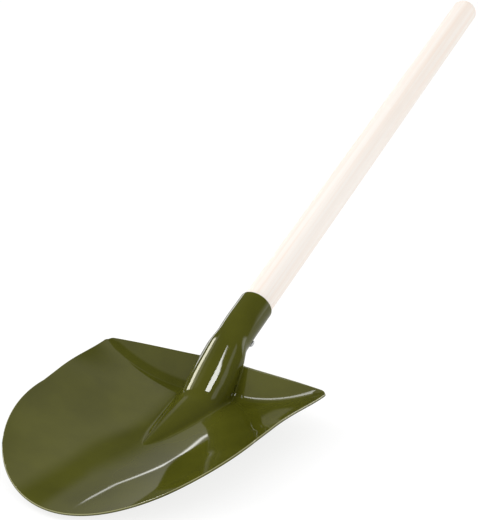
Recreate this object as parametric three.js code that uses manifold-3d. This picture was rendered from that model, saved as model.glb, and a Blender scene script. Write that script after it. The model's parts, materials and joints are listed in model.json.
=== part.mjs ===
// Camp shovel: a short round-point shovel lying on its blade, handle in the air.
// The blade, its hollow ridge and the handle socket are one stamped steel sheet.
// A turned wooden handle sits in the rolled socket and one wood screw holds it.
//
// Working frame, in millimetres: +X to the right, +Y from the blade to the handle end,
// +Z up. The socket's rim centre is above the working origin, and z = 0 is the level of
// the dish at its centre line. The exported group moves this to the middle of its own
// bounding box, on the floor.

import * as THREE from 'three';
import { mergeVertices } from 'three/addons/utils/BufferGeometryUtils.js';
import Module from 'manifold-3d';

const wasm = await Module();
wasm.setup();

// ---------------------------------------------------------------- driving dimensions

const SHEET = 1.8; // steel thickness

// Blade outline, seen from above
const REAR_HALF_WIDTH = 108; // centre line to a shoulder corner
const FRONT_HALF_WIDTH = 98.9; // centre line to the side where the point begins
const CORNER_Y = -75; // shoulder corners
const SIDE_LENGTH = 101; // straight side, along Y
const POINT_LENGTH = 121; // half-ellipse from the sides to the tip, along Y
const CORNER_REACH = 6; // length of each edge that the shoulder rounding uses up

// Dish
const DISH_DEPTH = 29.4; // rise from the centre line to the side at FRONT_HALF_WIDTH
const REAR_DISH_DEPTH = 28.2; // the same at the shoulder corners
const REAR_DISH_LENGTH = 76; // stretch over which the one changes to the other
const ROCKER_DEPTH = 2.5; // how far the centre line dips between crease and tip
const ROCKER_LENGTH = 170;
const ROCKER_Y = -160; // lowest point of the dip
const TIP_LIFT = 1.5; // rise of the centre line towards the tip

// Turned-up rear wall
const WALL_RISE = 23.5; // at the centre line, falling to nothing at the shoulders
const WALL_TAPER = 2.4; // power of that fall
const WALL_SLOPE = 1.17; // rise over run
const WALL_FILLET = 8; // half-length of the soft crease at its foot

// Hollow ridge and crank, along the centre line
const JOIN_Y = -57; // where the rear edge meets the crank
const JOIN_HALF_WIDTH = 19.6;
const KINK_Y = -84; // foot of the crank, where the ridge is widest
const KINK_HALF_WIDTH = 22.3;
const NOSE_Y = -178; // point of the ridge
const RIDGE_TAPER = 0.62; // power of the half-width from the nose to the kink
const RIDGE_SLOPE = 0.165;
const CRANK_SLOPE = 0.751;
const RIDGE_TOP_AT_KINK = 13.6; // height of the ridge line carried back to the kink
const CRANK_TOP_AT_KINK = 24.2; // height of the crank line at the kink
const CRANK_BEND = 6; // softness, in height, of the bend below the socket
const RIDGE_BEND = 2.5; // softness of the bend above the ridge

// Socket
const SOCKET_DIAMETER = 31.5; // outside
const SOCKET_LIFT = 22.7; // degrees above the floor
const RIM_HEIGHT = 56; // rim centre above the dish
const ROLLED_Y = -42; // the sheet is rolled right round from here to the rim
const SEAM = 1.2; // gap between the rolled edges, under the socket

// Handle
const HANDLE_DIAMETER = 28;
const HANDLE_EXPOSED = 533; // rim to end
const END_ROUNDING = 2.5;
const SHOULDER_GAP = 0.3; // between the rim and the handle's shoulder
const TENON_CLEARANCE = 0.3; // radial, between the tenon and the socket's bore
const TENON_MARGIN = 2; // from the tenon's straight part to where the socket begins to bend
const TENON_TIP_DIAMETER = 16;
const TENON_EXTRA_TAPER = 2.5; // degrees that the tip tapers more than the crank turns down

// Socket screw, round-headed, pointing at the handle's axis
const SCREW_FROM_RIM = 36.5;
const SCREW_BELOW_SIDE = 40; // degrees below the right-hand side of the socket
const SCREW_DIAMETER = 3.5;
const SCREW_LENGTH = 15; // under the head
const SCREW_HEAD_DIAMETER = 6.8;
const SCREW_HEAD_HEIGHT = 2.3;
const SCREW_SEAT_GAP = 0.3; // between the head and the sheet's highest point under it
const SCREW_HOLE_CLEARANCE = 0.3;

// Mesh density
const RIDGE_COLUMNS = 14; // each side of the centre line
const PAN_COLUMNS = 9; // each side, plus two in the shoulder rounding
const WALL_ROWS = 6;
const RIDGE_ROWS = 10;
const FRONT_ROWS = 8;
const SOCKET_ROWS = 9;
const HANDLE_SIDES = 48;
const SCREW_SIDES = 20;
const ROUNDING_STEPS = 4; // in a quarter turn
const NOSE_COLUMNS_REACH = 3; // half-width of the ridge's columns at and before its nose
const FRONT_COLUMNS_REACH = 34; // and where they meet the front edge
const SIDE_START = 48; // degrees from the tip, where the side's rows hand over to the front edge
const WALL_ROWS_REACH = 13; // side length beside the rear wall's rows
const SEAT_SAMPLES = 200; // each way over the socket, to find the screw's seat

// ---------------------------------------------------------------- derived values

const radians = THREE.MathUtils.degToRad;
const lift = radians(SOCKET_LIFT);
const socketRadius = SOCKET_DIAMETER / 2;
const boreRadius = socketRadius - SHEET;
const tenonRadius = boreRadius - TENON_CLEARANCE;
const sideEndY = CORNER_Y - SIDE_LENGTH;
const tipY = sideEndY - POINT_LENGTH;
const rimCentre = new THREE.Vector3(0, 0, RIM_HEIGHT);
const axis = new THREE.Vector3(0, Math.cos(lift), Math.sin(lift));
const axisUp = new THREE.Vector3(0, -Math.sin(lift), Math.cos(lift));
const crankAngle = Math.atan(CRANK_SLOPE);
const rimTopY = -socketRadius * Math.sin(lift);
const rimTopZ = RIM_HEIGHT + socketRadius * Math.cos(lift);

// ---------------------------------------------------------------- shape functions

const clamp01 = (t) => Math.min(Math.max(t, 0), 1);
const mix = (a, b, t) => a + (b - a) * t;
const ease = (t) => clamp01(t) ** 2 * (3 - 2 * clamp01(t));

// Smaller of two heights, rounded where they cross
function softMin(a, b, softness) {
  const h = clamp01(0.5 + (0.5 * (b - a)) / softness);
  return mix(b, a, h) - softness * h * (1 - h);
}

const softMax = (a, b, softness) => -softMin(-a, -b, softness);

// Rear edge of the blade: a straight cut from the crank to the shoulder corner
const rearEdgeY = (x) =>
  mix(JOIN_Y, CORNER_Y, (Math.abs(x) - JOIN_HALF_WIDTH) / (REAR_HALF_WIDTH - JOIN_HALF_WIDTH));

// Half-ellipse at the front, by the angle from the tip
const frontPoint = (angle) => [
  FRONT_HALF_WIDTH * Math.sin(angle),
  sideEndY - POINT_LENGTH * Math.cos(angle),
];

// Parabolic dish, a little flatter at the rear, with a shallow dip along the centre
function dishHeight(x, y) {
  const rear = ease((y - CORNER_Y) / REAR_DISH_LENGTH + 1);
  const curvature = mix(DISH_DEPTH / FRONT_HALF_WIDTH ** 2, REAR_DISH_DEPTH / REAR_HALF_WIDTH ** 2, rear);
  const along = clamp01(Math.abs(y - ROCKER_Y) / (ROCKER_LENGTH / 2));
  const dip = ROCKER_DEPTH * Math.cos((along * Math.PI) / 2) ** 2;
  const tipRise = TIP_LIFT * clamp01((sideEndY - y) / POINT_LENGTH) ** 2;
  return curvature * x * x - dip * (1 - (x / REAR_HALF_WIDTH) ** 2) + tipRise;
}

// Rear wall: a slope that reaches its full rise at the rear edge, with a soft foot
function wallHeight(x, y) {
  const rise = WALL_RISE * (1 - clamp01(Math.abs(x) / (REAR_HALF_WIDTH + 1)) ** WALL_TAPER);
  const run = rise / WALL_SLOPE;
  const fillet = Math.min(WALL_FILLET, 0.9 * run);
  const behind = y - (rearEdgeY(x) - run);
  if (behind <= -fillet) return 0;
  if (behind >= fillet) return WALL_SLOPE * behind;
  return (WALL_SLOPE * (behind + fillet) ** 2) / (4 * fillet);
}

const panHeight = (x, y) => dishHeight(x, y) + wallHeight(x, y);

// Half-width of the ridge where it meets the pan
function ridgeHalfWidth(y) {
  if (y > KINK_Y) return mix(KINK_HALF_WIDTH, JOIN_HALF_WIDTH, (y - KINK_Y) / (JOIN_Y - KINK_Y));
  return KINK_HALF_WIDTH * clamp01((y - NOSE_Y) / (KINK_Y - NOSE_Y)) ** RIDGE_TAPER;
}

// Top centre line: socket, then the steeper crank, then the gentle ridge
function topHeight(y) {
  const socket = rimTopZ + Math.tan(lift) * (y - rimTopY);
  const crank = CRANK_TOP_AT_KINK + CRANK_SLOPE * (y - KINK_Y);
  const ridge = RIDGE_TOP_AT_KINK + RIDGE_SLOPE * (y - KINK_Y);
  return softMax(softMin(socket, crank, CRANK_BEND), ridge, RIDGE_BEND);
}

// Circular arc that spans the ridge: its radius and the angle from the top to the foot
function ridgeArc(y) {
  const halfWidth = ridgeHalfWidth(y);
  const height = Math.max(topHeight(y) - panHeight(halfWidth, y), 0);
  return {
    radius: (halfWidth ** 2 + height ** 2) / (2 * height),
    foot: 2 * Math.atan2(height, halfWidth),
  };
}

// ---------------------------------------------------------------- surface grids

const sideStart = radians(SIDE_START);
const frontStart = Math.asin(FRONT_COLUMNS_REACH / FRONT_HALF_WIDTH);
const nearFrontY = frontPoint(frontStart)[1];

// Rows of the blade from the rear edge to the front, as places on the ridge's foot line
function spineRows() {
  const rows = [];
  for (let i = 0; i < WALL_ROWS; i += 1) rows.push(mix(JOIN_Y, KINK_Y, i / WALL_ROWS));
  for (let i = 0; i < RIDGE_ROWS; i += 1) rows.push(mix(KINK_Y, NOSE_Y, i / RIDGE_ROWS));
  for (let i = 0; i <= FRONT_ROWS; i += 1) rows.push(mix(NOSE_Y, nearFrontY, i / FRONT_ROWS));
  return rows;
}

// Share of the way from the ridge's nose to the front edge, and the half-width of the
// ridge's columns there
const forward = (y) => clamp01((NOSE_Y - y) / (NOSE_Y - nearFrontY));
const spineX = (y) => Math.max(ridgeHalfWidth(y), mix(NOSE_COLUMNS_REACH, FRONT_COLUMNS_REACH, forward(y)));

// Point on the ridge, or on the pan in front of it; across runs from -1 to 1
function ridgePoint(y, across) {
  if (ridgeHalfWidth(y) > NOSE_COLUMNS_REACH) {
    const { radius, foot } = ridgeArc(y);
    const angle = foot * across;
    return [radius * Math.sin(angle), y, topHeight(y) - radius * (1 - Math.cos(angle))];
  }
  const x = spineX(y) * across;
  const bow = frontPoint(Math.asin(x / FRONT_HALF_WIDTH))[1] - nearFrontY;
  const bowedY = y + bow * forward(y) ** 2;
  return [x, bowedY, panHeight(x, bowedY)];
}

const straightSide = Math.hypot(REAR_HALF_WIDTH - FRONT_HALF_WIDTH, SIDE_LENGTH);
const curvedSide = new THREE.EllipseCurve(
  0, sideEndY, FRONT_HALF_WIDTH, POINT_LENGTH, 0, -(Math.PI / 2 - sideStart), true,
).getLength();
const sideTotal = straightSide + curvedSide;

// Point on the blade's side by its share of the way from the shoulder to the front
function sidePoint(share) {
  const along = share * sideTotal;
  if (along < straightSide) {
    const t = along / straightSide;
    return [mix(REAR_HALF_WIDTH, FRONT_HALF_WIDTH, t), mix(CORNER_Y, sideEndY, t)];
  }
  return frontPoint(mix(Math.PI / 2, sideStart, (along - straightSide) / curvedSide));
}

// Share of the side that belongs to row i
function sideShare(i, last) {
  const wallShare = WALL_ROWS_REACH / sideTotal;
  if (i <= WALL_ROWS) return (wallShare * i) / WALL_ROWS;
  return mix(wallShare, 1, (i - WALL_ROWS) / (last - WALL_ROWS));
}

// Shoulder rounding: how far a point is pulled in from the sharp corner
function roundCorner(rearLeft, sideDone) {
  const towardsCrank = [JOIN_HALF_WIDTH - REAR_HALF_WIDTH, JOIN_Y - CORNER_Y];
  const towardsTip = [FRONT_HALF_WIDTH - REAR_HALF_WIDTH, -SIDE_LENGTH];
  const rearLength = Math.hypot(...towardsCrank);
  const near = (distance) => clamp01(1 - distance / CORNER_REACH);
  const pull = (CORNER_REACH / 4) * near(rearLeft * rearLength) ** 2 * near(sideDone * sideTotal) ** 2;
  return [0, 1].map((k) => pull * (towardsCrank[k] / rearLength + towardsTip[k] / straightSide));
}

// Plan position on the right half of the pan: a patch between its four edges, which are
// the ridge's foot (out = 0), the side (out = 1), the rear edge and the front edge
function panPoint(y, i, last, out) {
  const down = sideShare(i, last);
  const inner = [spineX(y), y];
  const outer = sidePoint(down);
  const rearX = mix(JOIN_HALF_WIDTH, REAR_HALF_WIDTH, out);
  const rear = [rearX, rearEdgeY(rearX)];
  const front = frontPoint(mix(frontStart, sideStart, out));
  const rearEnds = [[JOIN_HALF_WIDTH, JOIN_Y], [REAR_HALF_WIDTH, CORNER_Y]];
  const frontEnds = [frontPoint(frontStart), frontPoint(sideStart)];
  const pull = roundCorner(1 - out, down);
  const [x, planY] = [0, 1].map(
    (k) =>
      mix(inner[k], outer[k], out) +
      mix(rear[k], front[k], down) -
      mix(mix(rearEnds[0][k], rearEnds[1][k], out), mix(frontEnds[0][k], frontEnds[1][k], out), down) +
      pull[k],
  );
  return [x, planY, panHeight(x, planY)];
}

// Columns of one half of the pan, as shares of the way out, closer at the rounding
function panColumns() {
  const rounding = (1.2 * CORNER_REACH) / (REAR_HALF_WIDTH - JOIN_HALF_WIDTH);
  const shares = [];
  for (let j = 1; j <= PAN_COLUMNS; j += 1) shares.push(((1 - rounding) * j) / PAN_COLUMNS);
  shares.push(1 - rounding / 2, 1);
  return shares;
}

// Point on the socket. back runs from 0 at the rear edge to 1 at the rim. The section
// leans back from upright to square with the socket, and closes from the crank's open
// arch to a full round with a seam.
const joinArc = ridgeArc(JOIN_Y);
const seamAngle = SEAM / 2 / socketRadius;

function socketPoint(back, across) {
  const topY = mix(JOIN_Y, rimTopY, back);
  const lean = lift * ease(back);
  const rolled = ease((topY - JOIN_Y) / (ROLLED_Y - JOIN_Y));
  const halfWidth = mix(joinArc.radius, socketRadius, rolled);
  const halfDepth = mix(joinArc.radius, socketRadius / Math.cos(lift - lean), rolled);
  const angle = mix(joinArc.foot, Math.PI - seamAngle, rolled) * across;
  const drop = halfDepth * (1 - Math.cos(angle));
  return [
    halfWidth * Math.sin(angle),
    topY + drop * Math.sin(lean),
    topHeight(topY) - drop * Math.cos(lean),
  ];
}

// The whole upper surface as rows of points, null where a row has no sheet. Columns run
// from the left side over the ridge to the right side, rows from the rim to the tip.
function sheetGrid() {
  const spine = spineRows();
  const last = spine.length - 1;
  const outs = panColumns();
  const acrosses = [];
  for (let j = -RIDGE_COLUMNS; j <= RIDGE_COLUMNS; j += 1) acrosses.push(j / RIDGE_COLUMNS);
  const grid = [];
  for (let i = SOCKET_ROWS; i > 0; i -= 1) {
    const middle = acrosses.map((a) => socketPoint(i / SOCKET_ROWS, a));
    const empty = outs.map(() => null);
    grid.push([...empty, ...middle, ...empty]);
  }
  spine.forEach((y, i) => {
    const right = outs.map((out) => panPoint(y, i, last, out));
    const left = right.map(([x, planY, z]) => [-x, planY, z]).reverse();
    grid.push([...left, ...acrosses.map((a) => ridgePoint(y, a)), ...right]);
  });
  return grid;
}

// ---------------------------------------------------------------- solids

const subtract3 = (a, b) => [a[0] - b[0], a[1] - b[1], a[2] - b[2]];
const cross3 = (a, b) => [
  a[1] * b[2] - a[2] * b[1],
  a[2] * b[0] - a[0] * b[2],
  a[0] * b[1] - a[1] * b[0],
];

function faceNormal(points, [a, b, c]) {
  return cross3(subtract3(points[b], points[a]), subtract3(points[c], points[a]));
}

// Gives a grid of points a thickness below it, and closes its edges
function thicken(grid, thickness) {
  const points = [];
  const index = grid.map((row) => row.map((point) => (point ? points.push(point) - 1 : -1)));
  const faces = [];
  for (let i = 0; i + 1 < grid.length; i += 1) {
    for (let j = 0; j + 1 < grid[i].length; j += 1) {
      const [a, b, c, d] = [index[i][j], index[i + 1][j], index[i + 1][j + 1], index[i][j + 1]];
      if (Math.min(a, b, c, d) < 0) continue;
      const leftHalf = j < grid[i].length / 2 - 1;
      faces.push(...(leftHalf ? [[a, b, d], [b, c, d]] : [[a, b, c], [a, c, d]]));
    }
  }

  // Each point's normal is the mean of its faces'; the offset is mitred to keep the thickness
  const normals = points.map(() => new THREE.Vector3());
  const corners = points.map(() => []);
  faces.forEach((face) => {
    const normal = new THREE.Vector3(...faceNormal(points, face)).normalize();
    face.forEach((k, n) => {
      const [p, q] = [face[(n + 1) % 3], face[(n + 2) % 3]].map((m) =>
        new THREE.Vector3(...subtract3(points[m], points[k])),
      );
      normals[k].addScaledVector(normal, p.angleTo(q));
      corners[k].push(normal);
    });
  });
  const lower = points.map((point, k) => {
    const normal = normals[k].normalize();
    const least = Math.min(...corners[k].map((n) => n.dot(normal)));
    const reach = thickness / Math.max(least, 0.75);
    return [point[0] - normal.x * reach, point[1] - normal.y * reach, point[2] - normal.z * reach];
  });

  const count = points.length;
  const solid = [...faces, ...faces.map(([a, b, c]) => [a + count, c + count, b + count])];
  const sides = new Set(faces.flatMap(([a, b, c]) => [`${a},${b}`, `${b},${c}`, `${c},${a}`]));
  sides.forEach((side) => {
    const [a, b] = side.split(',').map(Number);
    if (sides.has(`${b},${a}`)) return;
    solid.push([b, a, a + count], [b, a + count, b + count]);
  });
  return toGeometry([...points, ...lower], solid);
}

function toGeometry(points, faces) {
  const geometry = new THREE.BufferGeometry();
  geometry.setAttribute('position', new THREE.Float32BufferAttribute(points.flat(), 3));
  geometry.setIndex(faces.flat());
  return geometry;
}

function toManifold(geometry) {
  const bare = geometry.clone();
  bare.deleteAttribute('normal');
  bare.deleteAttribute('uv');
  const merged = mergeVertices(bare, 1e-4);
  return new wasm.Manifold(
    new wasm.Mesh({
      numProp: 3,
      vertProperties: new Float32Array(merged.attributes.position.array),
      triVerts: new Uint32Array(merged.index.array),
    }),
  );
}

function fromManifold(solid) {
  const mesh = solid.getMesh();
  const geometry = new THREE.BufferGeometry();
  geometry.setAttribute('position', new THREE.Float32BufferAttribute(mesh.vertProperties, 3));
  geometry.setIndex(Array.from(mesh.triVerts));
  geometry.computeVertexNormals();
  return geometry;
}

const cut = (geometry, tool) => fromManifold(toManifold(geometry).subtract(toManifold(tool)));

// Turns a profile of [radius, height] pairs about a line from a point along a direction
function turned(profile, sides, from, along) {
  const geometry = new THREE.LatheGeometry(profile.map(([r, h]) => new THREE.Vector2(r, h)), sides);
  geometry.applyQuaternion(new THREE.Quaternion().setFromUnitVectors(new THREE.Vector3(0, 1, 0), along));
  geometry.translate(from.x, from.y, from.z);
  return geometry;
}

// Profile points of a quarter ellipse about a centre, from its widest place to its top
function quarterRound(centreR, centreH, width, height) {
  return Array.from({ length: ROUNDING_STEPS + 1 }, (_, k) => {
    const angle = ((Math.PI / 2) * k) / ROUNDING_STEPS;
    return [centreR + width * Math.cos(angle), centreH + height * Math.sin(angle)];
  });
}

// ---------------------------------------------------------------- pieces

const screwOut = new THREE.Vector3(1, 0, 0)
  .multiplyScalar(Math.cos(radians(SCREW_BELOW_SIDE)))
  .addScaledVector(axisUp, -Math.sin(radians(SCREW_BELOW_SIDE)));
const screwFoot = rimCentre.clone().addScaledVector(axis, -SCREW_FROM_RIM);

// Height of the underside of the screw's head above the handle's axis: a gap above the
// highest point of the sheet within reach of the head
function findScrewSeat() {
  let highest = 0;
  for (let i = 0; i <= SEAT_SAMPLES; i += 1) {
    for (let j = 0; j <= SEAT_SAMPLES; j += 1) {
      const point = new THREE.Vector3(...socketPoint(i / SEAT_SAMPLES, j / SEAT_SAMPLES)).sub(screwFoot);
      const height = point.dot(screwOut);
      const aside = point.addScaledVector(screwOut, -height).length();
      if (aside <= SCREW_HEAD_DIAMETER / 2) highest = Math.max(highest, height);
    }
  }
  return highest + SCREW_SEAT_GAP;
}

const screwSeat = findScrewSeat();

function screwHole() {
  const radius = SCREW_DIAMETER / 2 + SCREW_HOLE_CLEARANCE;
  const inner = screwSeat - SCREW_LENGTH - SCREW_HOLE_CLEARANCE;
  const outer = screwSeat + SHEET;
  const profile = [[0, inner], [radius, inner], [radius, outer], [0, outer]];
  return turned(profile, SCREW_SIDES, screwFoot, screwOut);
}

// Distance from the rim, along the axis, to where the roof starts to leave the straight tube
function straightBore() {
  const offset = rimTopZ - Math.tan(lift) * rimTopY - (CRANK_TOP_AT_KINK - CRANK_SLOPE * KINK_Y);
  const bendY = (CRANK_BEND + offset) / (CRANK_SLOPE - Math.tan(lift));
  return (rimTopY - bendY) / Math.cos(lift);
}

function bladeSocket() {
  return cut(thicken(sheetGrid(), SHEET), screwHole());
}

function handle() {
  const radius = HANDLE_DIAMETER / 2;
  const tipRadius = TENON_TIP_DIAMETER / 2;
  const straight = TENON_MARGIN - straightBore();
  const taper = (tenonRadius - tipRadius) / Math.tan(crankAngle - lift + radians(TENON_EXTRA_TAPER));
  const profile = [
    [0, straight - taper],
    [tipRadius, straight - taper],
    [tenonRadius, straight],
    [tenonRadius, SHOULDER_GAP],
    [radius, SHOULDER_GAP],
    ...quarterRound(radius - END_ROUNDING, HANDLE_EXPOSED - END_ROUNDING, END_ROUNDING, END_ROUNDING),
    [0, HANDLE_EXPOSED],
  ];
  return cut(turned(profile, HANDLE_SIDES, rimCentre, axis), screwHole());
}

function socketScrew() {
  const radius = SCREW_DIAMETER / 2;
  const dome = quarterRound(0, screwSeat, SCREW_HEAD_DIAMETER / 2, SCREW_HEAD_HEIGHT);
  const profile = [
    [0, screwSeat - SCREW_LENGTH],
    [radius, screwSeat - SCREW_LENGTH + SCREW_DIAMETER],
    [radius, screwSeat],
    ...dome.slice(0, -1),
    [0, screwSeat + SCREW_HEAD_HEIGHT],
  ];
  return turned(profile, SCREW_SIDES, screwFoot, screwOut);
}

// ---------------------------------------------------------------- assembly

const enamel = new THREE.MeshStandardMaterial({ color: 0x4a4e1c, roughness: 0.15, metalness: 0 });
const wood = new THREE.MeshStandardMaterial({ color: 0xf0e2d0, roughness: 0.6, metalness: 0 });
const zinc = new THREE.MeshStandardMaterial({ color: 0xb9bbbd, roughness: 0.35, metalness: 1 });

function named(name, geometry, material) {
  const mesh = new THREE.Mesh(geometry, material);
  mesh.name = name;
  return mesh;
}

const group = new THREE.Group();
group.name = 'camp_shovel';
group.add(
  named('blade_with_socket', bladeSocket(), enamel),
  named('handle', handle(), wood),
  named('socket_screw', socketScrew(), zinc),
);

// Origin at the middle of the bounding box, on the floor
const bounds = new THREE.Box3().setFromObject(group, true);
const middle = bounds.getCenter(new THREE.Vector3());
group.position.set(0, -middle.y, -bounds.min.z);

export default group;
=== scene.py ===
"""Looks of the camp shovel: fine meshes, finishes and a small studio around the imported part.

Shapes are worked out in millimetres in the maker's frame: +X to the right, +Y from the blade
to the handle's end, +Z up, with the socket's rim centre above the origin and z = 0 at the
dish's centre line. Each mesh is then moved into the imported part's frame, in metres.
"""

from __future__ import annotations

import json
import logging
import math
from dataclasses import dataclass, field

import bpy
import numpy as np
from mathutils import Matrix, Vector

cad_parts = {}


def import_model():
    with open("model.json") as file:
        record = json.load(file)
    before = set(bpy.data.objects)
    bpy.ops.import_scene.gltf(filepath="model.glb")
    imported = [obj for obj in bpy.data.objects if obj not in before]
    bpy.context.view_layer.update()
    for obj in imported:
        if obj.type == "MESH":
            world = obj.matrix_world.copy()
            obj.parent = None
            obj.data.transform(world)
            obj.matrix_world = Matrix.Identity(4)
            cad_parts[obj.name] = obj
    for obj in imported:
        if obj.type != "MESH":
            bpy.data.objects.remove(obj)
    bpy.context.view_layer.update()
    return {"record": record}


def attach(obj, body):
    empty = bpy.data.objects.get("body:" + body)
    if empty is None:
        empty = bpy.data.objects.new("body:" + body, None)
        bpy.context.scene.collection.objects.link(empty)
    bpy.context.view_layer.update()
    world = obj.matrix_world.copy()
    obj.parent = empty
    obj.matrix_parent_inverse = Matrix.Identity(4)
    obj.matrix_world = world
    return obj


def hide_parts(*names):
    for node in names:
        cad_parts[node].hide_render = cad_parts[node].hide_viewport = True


log = logging.getLogger("camp_shovel")

MM = 0.001
# Painted highlight: the share of a pale edge colour that stands in for light caught on the upper side
# of the rounded sheet edges.
PAINTED_EDGE_HIGHLIGHT = "edge_highlight_share"  # mesh attribute: 1 on the upper side of a rounded edge, 0 elsewhere

# Points that agree to this many decimals of a millimetre are one point.
WELD_DECIMALS = 5

# Lengths that keep a division from meeting 0.
LEAST_LENGTH = 1e-12
LEAST_FILLET = 1e-6
LEAST_HEIGHT = 1e-4

# Cosine of the angle off a gloss panel's centre past which it is never seen.
NEAR_AHEAD = 0.5

# Numbers of the Mix node's sockets for two colours and their mix.
FIRST_COLOUR, SECOND_COLOUR, MIXED_COLOUR = 6, 7, 2


# ---------------------------------------------------------------- small formulas


def mix(a: np.ndarray | float, b: np.ndarray | float, t: np.ndarray | float) -> np.ndarray:
    """Goes from a at t = 0 to b at t = 1 in a straight line."""
    return a + (b - a) * t


def ease(t: np.ndarray | float) -> np.ndarray:
    """Smooth step: 3 t squared less 2 t cubed, with t held between 0 and 1."""
    held = np.clip(t, 0, 1)
    return held**2 * (3 - 2 * held)


def soft_min(a: np.ndarray, b: np.ndarray, softness: float) -> np.ndarray:
    """Takes the smaller of two heights, rounded where they cross.

    Args:
        a: First height.
        b: Second height.
        softness: Height over which the two blend.

    Returns:
        The two mixed by h, which runs from 0 to 1 as b - a goes from minus to plus the
        softness, less softness * h * (1 - h).
    """
    h = np.clip(0.5 + 0.5 * (b - a) / softness, 0, 1)
    return mix(b, a, h) - softness * h * (1 - h)


def soft_max(a: np.ndarray, b: np.ndarray, softness: float) -> np.ndarray:
    """Takes the larger of two heights, rounded where they cross."""
    return -soft_min(-a, -b, softness)


def unit(vectors: np.ndarray) -> np.ndarray:
    """Scales each row of an array to length 1."""
    lengths = np.linalg.norm(vectors, axis=-1, keepdims=True)
    return vectors / np.maximum(lengths, LEAST_LENGTH)


def steps(
    first: float, last: float, count: int, lead_in: float = 0, lead_out: float = 0
) -> np.ndarray:
    """Even steps between two values, with an extra one close to either end if asked.

    Args:
        first: Value at the start.
        last: Value at the end.
        count: Number of even steps.
        lead_in: Distance of the extra step after the start, or 0 for none.
        lead_out: Distance of the extra step before the end, or 0 for none.

    Returns:
        The values in order, both ends among them.
    """
    values = list(np.linspace(first, last, count + 1))
    towards = math.copysign(1, last - first)
    if lead_in > 0:
        values.append(first + towards * lead_in)
    if lead_out > 0:
        values.append(last - towards * lead_out)
    return towards * np.sort(towards * np.array(values))


# ---------------------------------------------------------------- meshes from grids


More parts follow.
